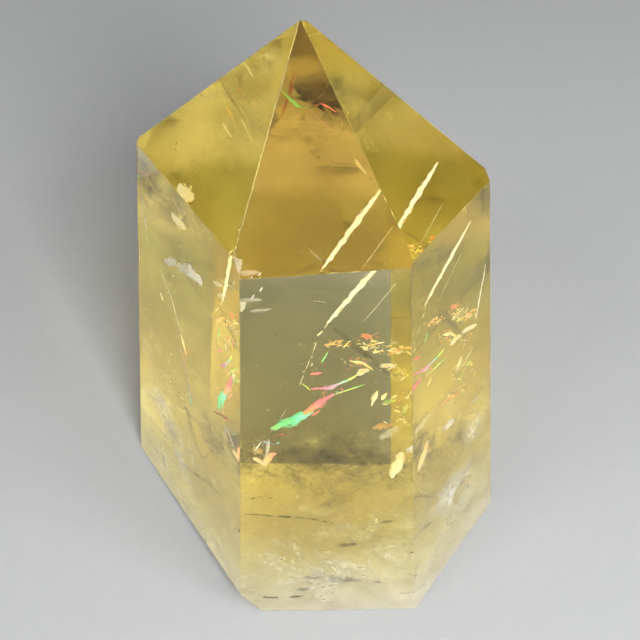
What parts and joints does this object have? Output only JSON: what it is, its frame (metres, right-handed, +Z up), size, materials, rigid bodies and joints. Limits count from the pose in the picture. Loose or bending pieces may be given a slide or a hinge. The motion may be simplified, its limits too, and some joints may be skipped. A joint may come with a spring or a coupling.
{
  "type": "citrine crystal point",
  "caption": "Polished citrine crystal point: a tapering prism with flat facets, a pointed end and a flat sawn base it stands on.",
  "frame": {"origin": "middle of the bounding box, on the flat base", "axes": "+Z up along the crystal towards its point, the front prism facet faces -Y, +X to its right"},
  "size_m": [0.0498, 0.0466, 0.0752],
  "materials": {
    "citrine": "clear golden yellow quartz, polished, paler and cloudier towards the base"
  },
  "bodies": {
    "root": {"crystal_point": "citrine"}
  },
  "joints": []
}
